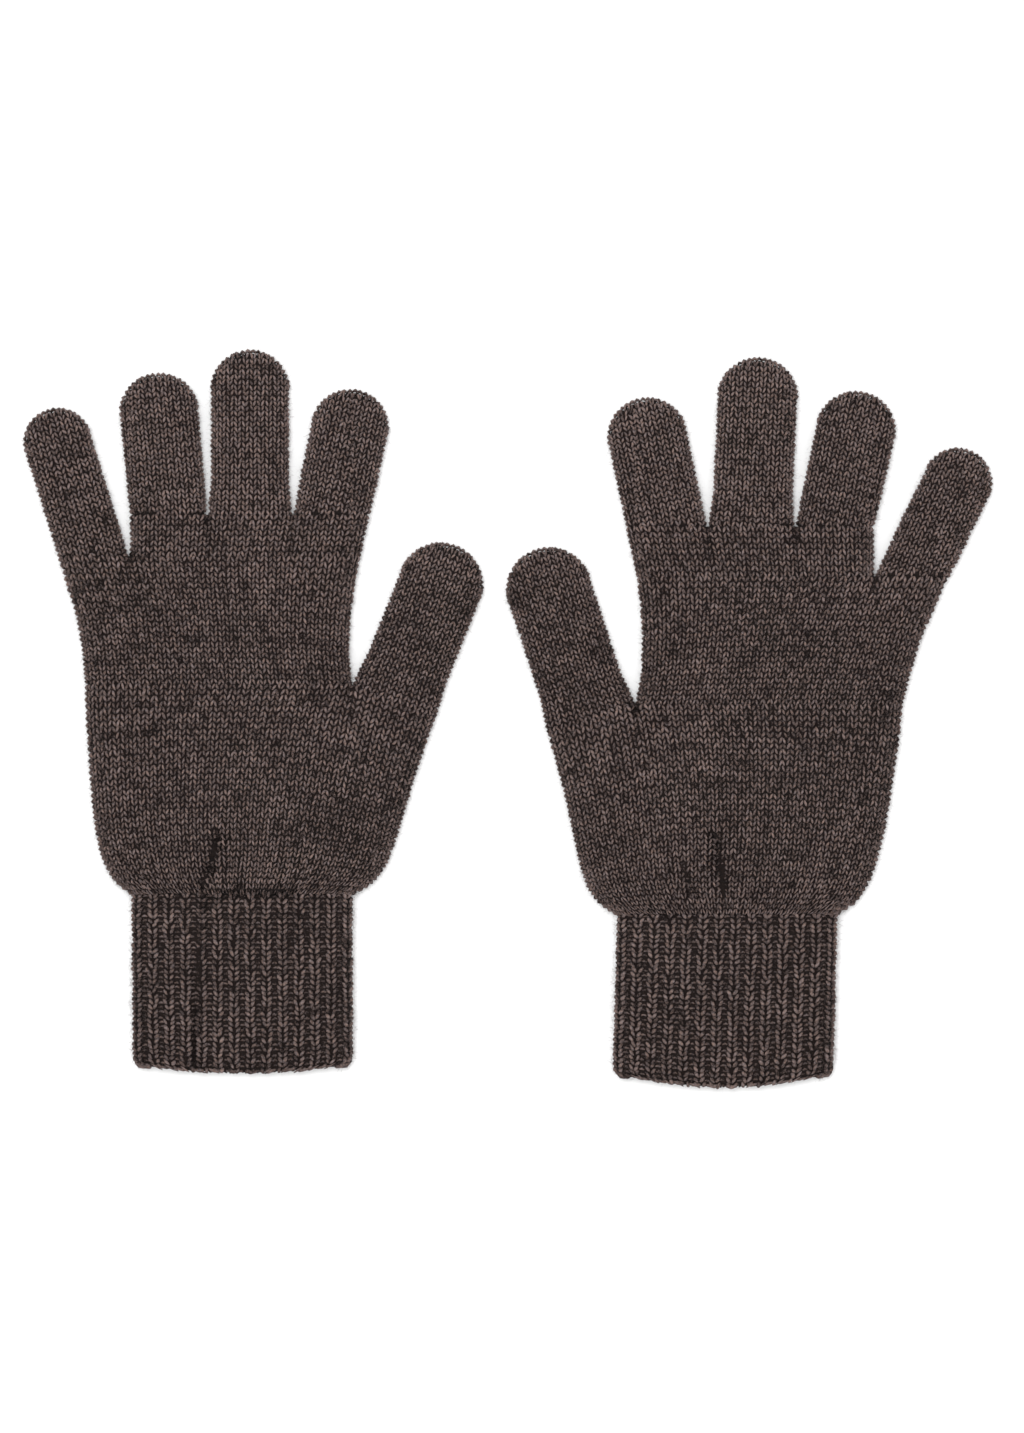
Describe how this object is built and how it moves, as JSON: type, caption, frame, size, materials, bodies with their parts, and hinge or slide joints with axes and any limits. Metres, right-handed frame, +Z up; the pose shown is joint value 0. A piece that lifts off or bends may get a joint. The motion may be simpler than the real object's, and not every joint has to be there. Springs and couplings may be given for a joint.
{
  "type": "knitted gloves",
  "caption": "Pair of fine knitted gloves with ribbed cuffs, lying flat with thumbs inward; each finger and thumb bends at its knuckles and each cuff folds up at the wrist.",
  "frame": {"origin": "centre of the pair's bounding box in X and Y, on the surface it lies on", "axes": "+Y from the hems towards the fingertips, +X from the left-lying glove to the right-lying one, +Z up out of the palms"},
  "size_m": [0.3502, 0.2664, 0.009],
  "materials": {
    "plain_knit": "heathered charcoal-brown stockinette, slightly fuzzy, matt",
    "ribbed_knit": "the same yarn in one-by-one rib, matt"
  },
  "bodies": {
    "left_palm": {"left_five_stall_palm": "plain_knit", "left_four_stall_palm": "plain_knit", "left_three_stall_palm": "plain_knit"},
    "left_cuff": {"left_cuff": "ribbed_knit"},
    "left_thumb_base": {"left_thumb_base": "plain_knit"},
    "left_thumb_tip": {"left_thumb_tip": "plain_knit"},
    "left_index_base": {"left_index_base": "plain_knit"},
    "left_index_middle": {"left_index_middle": "plain_knit"},
    "left_index_tip": {"left_index_tip": "plain_knit"},
    "left_middle_base": {"left_middle_base": "plain_knit"},
    "left_middle_middle": {"left_middle_middle": "plain_knit"},
    "left_middle_tip": {"left_middle_tip": "plain_knit"},
    "left_ring_base": {"left_ring_base": "plain_knit"},
    "left_ring_middle": {"left_ring_middle": "plain_knit"},
    "left_ring_tip": {"left_ring_tip": "plain_knit"},
    "left_little_base": {"left_little_base": "plain_knit"},
    "left_little_middle": {"left_little_middle": "plain_knit"},
    "left_little_tip": {"left_little_tip": "plain_knit"},
    "right_palm": {"right_five_stall_palm": "plain_knit", "right_four_stall_palm": "plain_knit", "right_three_stall_palm": "plain_knit"},
    "right_cuff": {"right_cuff": "ribbed_knit"},
    "right_thumb_base": {"right_thumb_base": "plain_knit"},
    "right_thumb_tip": {"right_thumb_tip": "plain_knit"},
    "right_index_base": {"right_index_base": "plain_knit"},
    "right_index_middle": {"right_index_middle": "plain_knit"},
    "right_index_tip": {"right_index_tip": "plain_knit"},
    "right_middle_base": {"right_middle_base": "plain_knit"},
    "right_middle_middle": {"right_middle_middle": "plain_knit"},
    "right_middle_tip": {"right_middle_tip": "plain_knit"},
    "right_ring_base": {"right_ring_base": "plain_knit"},
    "right_ring_middle": {"right_ring_middle": "plain_knit"},
    "right_ring_tip": {"right_ring_tip": "plain_knit"},
    "right_little_base": {"right_little_base": "plain_knit"},
    "right_little_middle": {"right_little_middle": "plain_knit"},
    "right_little_tip": {"right_little_tip": "plain_knit"}
  },
  "joints": [
    {"name": "left_wrist", "type": "hinge", "parent": "left_palm", "child": "left_cuff", "pos_m": [-0.0957, -0.06292, 0.009], "axis": [-1, 0, 0], "range_deg": [0, 90]},
    {"name": "left_thumb_base_bend", "type": "hinge", "parent": "left_palm", "child": "left_thumb_base", "pos_m": [-0.04117, 0.00654, 0.009], "axis": [0.9285, -0.3714, 0], "range_deg": [0, 70]},
    {"name": "left_thumb_tip_bend", "type": "hinge", "parent": "left_thumb_base", "child": "left_thumb_tip", "pos_m": [-0.0304, 0.03347, 0.009], "axis": [0.9285, -0.3714, 0], "range_deg": [0, 80]},
    {"name": "left_index_base_bend", "type": "hinge", "parent": "left_palm", "child": "left_index_base", "pos_m": [-0.06385, 0.07358, 0.009], "axis": [1, 0, 0], "range_deg": [0, 85]},
    {"name": "left_index_middle_bend", "type": "hinge", "parent": "left_index_base", "child": "left_index_middle", "pos_m": [-0.06032, 0.0902, 0.009], "axis": [0.9781, -0.2079, 0], "range_deg": [0, 95]},
    {"name": "left_index_tip_bend", "type": "hinge", "parent": "left_index_middle", "child": "left_index_tip", "pos_m": [-0.05741, 0.1039, 0.009], "axis": [0.9781, -0.2079, 0], "range_deg": [0, 57]},
    {"name": "left_middle_base_bend", "type": "hinge", "parent": "left_palm", "child": "left_middle_base", "pos_m": [-0.0932, 0.07358, 0.009], "axis": [1, 0, 0], "range_deg": [0, 85]},
    {"name": "left_middle_middle_bend", "type": "hinge", "parent": "left_middle_base", "child": "left_middle_middle", "pos_m": [-0.0932, 0.09558, 0.009], "axis": [1, 0, 0], "range_deg": [0, 95]},
    {"name": "left_middle_tip_bend", "type": "hinge", "parent": "left_middle_middle", "child": "left_middle_tip", "pos_m": [-0.0932, 0.11408, 0.009], "axis": [1, 0, 0], "range_deg": [0, 57]},
    {"name": "left_ring_base_bend", "type": "hinge", "parent": "left_palm", "child": "left_ring_base", "pos_m": [-0.12265, 0.07358, 0.009], "axis": [1, 0, 0], "range_deg": [0, 85]},
    {"name": "left_ring_middle_bend", "type": "hinge", "parent": "left_ring_base", "child": "left_ring_middle", "pos_m": [-0.12441, 0.09249, 0.009], "axis": [0.9957, 0.0924, 0], "range_deg": [0, 95]},
    {"name": "left_ring_tip_bend", "type": "hinge", "parent": "left_ring_middle", "child": "left_ring_tip", "pos_m": [-0.12589, 0.10843, 0.009], "axis": [0.9957, 0.0924, 0], "range_deg": [0, 57]},
    {"name": "left_little_base_bend", "type": "hinge", "parent": "left_palm", "child": "left_little_base", "pos_m": [-0.1497, 0.05858, 0.009], "axis": [1, 0, 0], "range_deg": [0, 85]},
    {"name": "left_little_middle_bend", "type": "hinge", "parent": "left_little_base", "child": "left_little_middle", "pos_m": [-0.15613, 0.07909, 0.009], "axis": [0.9542, 0.299, 0], "range_deg": [0, 95]},
    {"name": "left_little_tip_bend", "type": "hinge", "parent": "left_little_middle", "child": "left_little_tip", "pos_m": [-0.16122, 0.09531, 0.009], "axis": [0.9542, 0.299, 0], "range_deg": [0, 57]},
    {"name": "right_wrist", "type": "hinge", "parent": "right_palm", "child": "right_cuff", "pos_m": [0.07744, -0.07022, 0.009], "axis": [-1, 0, 0], "range_deg": [0, 90]},
    {"name": "right_thumb_base_bend", "type": "hinge", "parent": "right_palm", "child": "right_thumb_base", "pos_m": [0.03008, 0.00004, 0.009], "axis": [0.95, 0.3123, 0], "range_deg": [0, 70]},
    {"name": "right_thumb_tip_bend", "type": "hinge", "parent": "right_thumb_base", "child": "right_thumb_tip", "pos_m": [0.0204, 0.02949, 0.009], "axis": [0.95, 0.3123, 0], "range_deg": [0, 80]},
    {"name": "right_index_base_bend", "type": "hinge", "parent": "right_palm", "child": "right_index_base", "pos_m": [0.05724, 0.06928, 0.009], "axis": [1, 0, 0], "range_deg": [0, 85]},
    {"name": "right_index_middle_bend", "type": "hinge", "parent": "right_index_base", "child": "right_index_middle", "pos_m": [0.05362, 0.0863, 0.009], "axis": [0.9781, 0.2079, 0], "range_deg": [0, 95]},
    {"name": "right_index_tip_bend", "type": "hinge", "parent": "right_index_middle", "child": "right_index_tip", "pos_m": [0.05065, 0.10028, 0.009], "axis": [0.9781, 0.2079, 0], "range_deg": [0, 57]},
    {"name": "right_middle_base_bend", "type": "hinge", "parent": "right_palm", "child": "right_middle_base", "pos_m": [0.08784, 0.06928, 0.009], "axis": [1, 0, 0], "range_deg": [0, 85]},
    {"name": "right_middle_middle_bend", "type": "hinge", "parent": "right_middle_base", "child": "right_middle_middle", "pos_m": [0.08894, 0.09185, 0.009], "axis": [0.9988, -0.0489, 0], "range_deg": [0, 95]},
    {"name": "right_middle_tip_bend", "type": "hinge", "parent": "right_middle_middle", "child": "right_middle_tip", "pos_m": [0.08987, 0.11083, 0.009], "axis": [0.9988, -0.0489, 0], "range_deg": [0, 57]},
    {"name": "right_ring_base_bend", "type": "hinge", "parent": "right_palm", "child": "right_ring_base", "pos_m": [0.11794, 0.06928, 0.009], "axis": [1, 0, 0], "range_deg": [0, 85]},
    {"name": "right_ring_middle_bend", "type": "hinge", "parent": "right_ring_base", "child": "right_ring_middle", "pos_m": [0.12184, 0.08716, 0.009], "axis": [0.977, -0.213, 0], "range_deg": [0, 95]},
    {"name": "right_ring_tip_bend", "type": "hinge", "parent": "right_ring_middle", "child": "right_ring_tip", "pos_m": [0.12514, 0.1023, 0.009], "axis": [0.977, -0.213, 0], "range_deg": [0, 57]},
    {"name": "right_little_base_bend", "type": "hinge", "parent": "right_palm", "child": "right_little_base", "pos_m": [0.14564, 0.05128, 0.009], "axis": [1, 0, 0], "range_deg": [0, 85]},
    {"name": "right_little_middle_bend", "type": "hinge", "parent": "right_little_base", "child": "right_little_middle", "pos_m": [0.15419, 0.0688, 0.009], "axis": [0.8988, -0.4384, 0], "range_deg": [0, 95]},
    {"name": "right_little_tip_bend", "type": "hinge", "parent": "right_little_middle", "child": "right_little_tip", "pos_m": [0.16098, 0.08273, 0.009], "axis": [0.8988, -0.4384, 0], "range_deg": [0, 57]},
    {"name": "pair_apart", "type": "slide", "parent": "left_palm", "child": "right_palm", "axis": [1, 0, 0], "range_m": [0, 0.1]}
  ],
  "couplings": [
    {"joint": "left_index_tip_bend", "follows": "left_index_middle_bend", "ratio": 0.6},
    {"joint": "left_middle_tip_bend", "follows": "left_middle_middle_bend", "ratio": 0.6},
    {"joint": "left_ring_tip_bend", "follows": "left_ring_middle_bend", "ratio": 0.6},
    {"joint": "left_little_tip_bend", "follows": "left_little_middle_bend", "ratio": 0.6},
    {"joint": "right_index_tip_bend", "follows": "right_index_middle_bend", "ratio": 0.6},
    {"joint": "right_middle_tip_bend", "follows": "right_middle_middle_bend", "ratio": 0.6},
    {"joint": "right_ring_tip_bend", "follows": "right_ring_middle_bend", "ratio": 0.6},
    {"joint": "right_little_tip_bend", "follows": "right_little_middle_bend", "ratio": 0.6}
  ]
}
